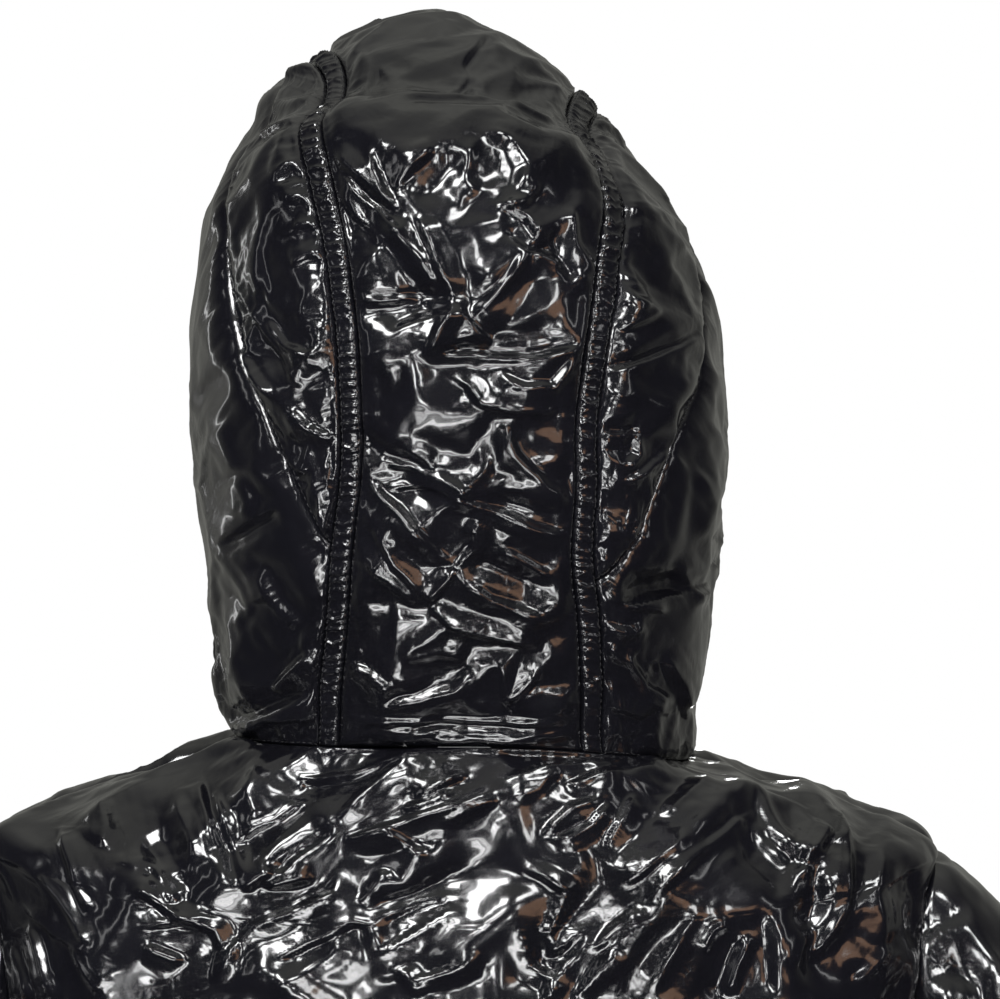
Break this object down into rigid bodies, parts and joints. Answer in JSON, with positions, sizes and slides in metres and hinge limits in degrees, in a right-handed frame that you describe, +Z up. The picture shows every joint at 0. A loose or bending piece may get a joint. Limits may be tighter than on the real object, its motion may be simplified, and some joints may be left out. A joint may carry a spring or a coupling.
{
  "type": "hooded puffer jacket",
  "caption": "Glossy padded jacket with an up hood, long sleeves and a front zip, filled out and hollow, as it is when worn.",
  "frame": {"origin": "middle of the neck opening, level with the neck seam at the back, where neck and shoulders carry the jacket", "axes": "+Z up, the front with the zip faces -Y, the wearer's left is +X"},
  "size_m": [0.8382, 0.3003, 1.0004],
  "materials": {
    "shell": "high-gloss black film-coated shell cloth",
    "zip_tape": "black woven tape",
    "zip_plastic": "black moulded teeth",
    "slider_metal": "dark polished coating"
  },
  "bodies": {
    "jacket": {"back": "shell", "front_left": "shell", "front_right": "shell", "sleeve_left": "shell", "sleeve_right": "shell", "hood_centre": "shell", "hood_strip_left": "shell", "hood_strip_right": "shell", "hood_side_left": "shell", "hood_side_right": "shell", "hood_cheek_left": "shell", "hood_cheek_right": "shell", "zip_tape_left": "zip_tape", "zip_tape_right": "zip_tape", "zip_chain": "zip_plastic", "zip_slider": "slider_metal"},
    "pull": {"zip_pull": "slider_metal"}
  },
  "joints": [
    {"name": "pull_swing", "type": "hinge", "parent": "jacket", "child": "pull", "pos_m": [0, -0.12617, -0.08069], "axis": [-1, 0, 0], "range_deg": [0, 150]}
  ]
}
